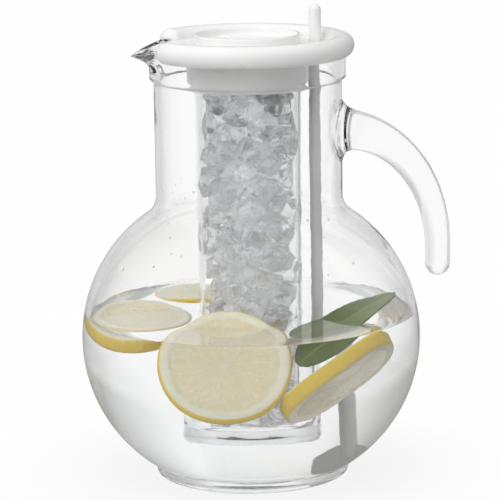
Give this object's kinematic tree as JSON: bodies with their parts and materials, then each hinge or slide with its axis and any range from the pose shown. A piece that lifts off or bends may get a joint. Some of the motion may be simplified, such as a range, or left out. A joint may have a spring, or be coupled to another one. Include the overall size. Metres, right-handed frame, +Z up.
{
  "type": "pitcher with ice tube",
  "caption": "Clear glass ball pitcher with open hook handle and spout, white lid with filler cap, an ice tube hung in the lid and a stirrer, shown with water, lemon slices and a leaf.",
  "frame": {"origin": "centre of the foot's underside, where the pitcher stands", "axes": "+Z up along the neck, +X from the spout to the handle, +Y away from the picture's camera"},
  "size_m": [0.1854, 0.17, 0.235],
  "materials": {
    "glass": "clear, fire polished",
    "white_plastic": "satin gloss",
    "clear_plastic": "clear, polished",
    "ice": "wet, cloudy inside",
    "stirrer_plastic": "satin gloss",
    "water": "clear liquid",
    "lemon": "wet rind and flesh",
    "leaf": "waxy leaf"
  },
  "bodies": {
    "jug": {"jug_body": "glass", "handle": "glass", "water": "water", "lemon_slice_front": "lemon", "lemon_slice_left": "lemon", "lemon_slice_right": "lemon", "lemon_slice_back": "lemon", "leaf": "leaf"},
    "lid": {"lid": "white_plastic"},
    "cap": {"filler_cap": "white_plastic"},
    "tube": {"ice_tube": "clear_plastic", "ice_lumps": "ice"},
    "stirrer": {"stirrer": "stirrer_plastic"}
  },
  "joints": [
    {"name": "lid_lift", "type": "slide", "parent": "jug", "child": "lid", "axis": [0, 0, 1], "range_m": [0, 0.205]},
    {"name": "cap_lift", "type": "slide", "parent": "lid", "child": "cap", "axis": [0, 0, 1], "range_m": [0, 0.03]},
    {"name": "tube_twist", "type": "hinge", "parent": "lid", "child": "tube", "pos_m": [0, 0, 0.2045], "axis": [0, 0, 1], "range_deg": [0, 45]},
    {"name": "stirrer_spin", "type": "hinge", "parent": "jug", "child": "stirrer", "pos_m": [0.0338, 0.01164, 0.1], "axis": [0, 0, 1], "continuous": true}
  ]
}
